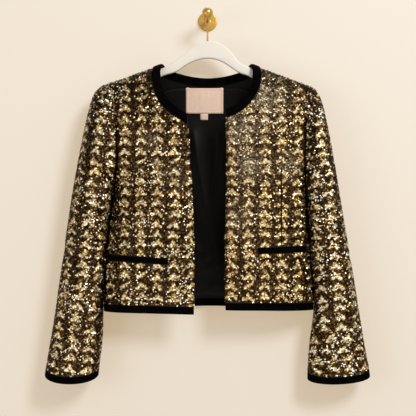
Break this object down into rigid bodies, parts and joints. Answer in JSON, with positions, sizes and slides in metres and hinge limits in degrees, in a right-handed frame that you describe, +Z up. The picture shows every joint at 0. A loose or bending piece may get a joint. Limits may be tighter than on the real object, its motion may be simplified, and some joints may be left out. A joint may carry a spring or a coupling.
{
  "type": "cropped jacket on a hanger and wall hook",
  "caption": "Cropped collarless sequin jacket, open in front with velvet-bound edges and pocket strips, hung on a contour hanger from a round wall hook.",
  "frame": {"origin": "centre of the wall plate's back face, on the wall", "axes": "+Z up, +Y into the wall, so the jacket's front faces -Y; +X to the right of someone who looks at the front"},
  "size_m": [0.66, 0.0904, 0.7588],
  "materials": {
    "sequins": "bronze and pale gold sequins on dark cloth",
    "velvet": "short black pile with a soft sheen",
    "satin": "smooth black satin",
    "label": "plain woven pale pink, bare",
    "hanger": "smooth off-white",
    "hook_wire": "drawn wire",
    "brass": "brushed"
  },
  "bodies": {
    "root": {"front_left": "sequins", "front_right": "sequins", "back": "sequins", "sleeve_left": "sequins", "sleeve_right": "sequins", "neck_trim": "velvet", "hem_trim_left": "velvet", "hem_trim_right": "velvet", "hem_trim_back": "velvet", "cuff_trim_left": "velvet", "cuff_trim_right": "velvet", "pocket_trim_left": "velvet", "pocket_trim_right": "velvet", "lining_back": "satin", "label": "label", "size_tab": "label", "hanger": "hanger", "hanger_hook": "hook_wire", "wall_plate": "brass", "wall_peg": "brass"}
  },
  "joints": []
}
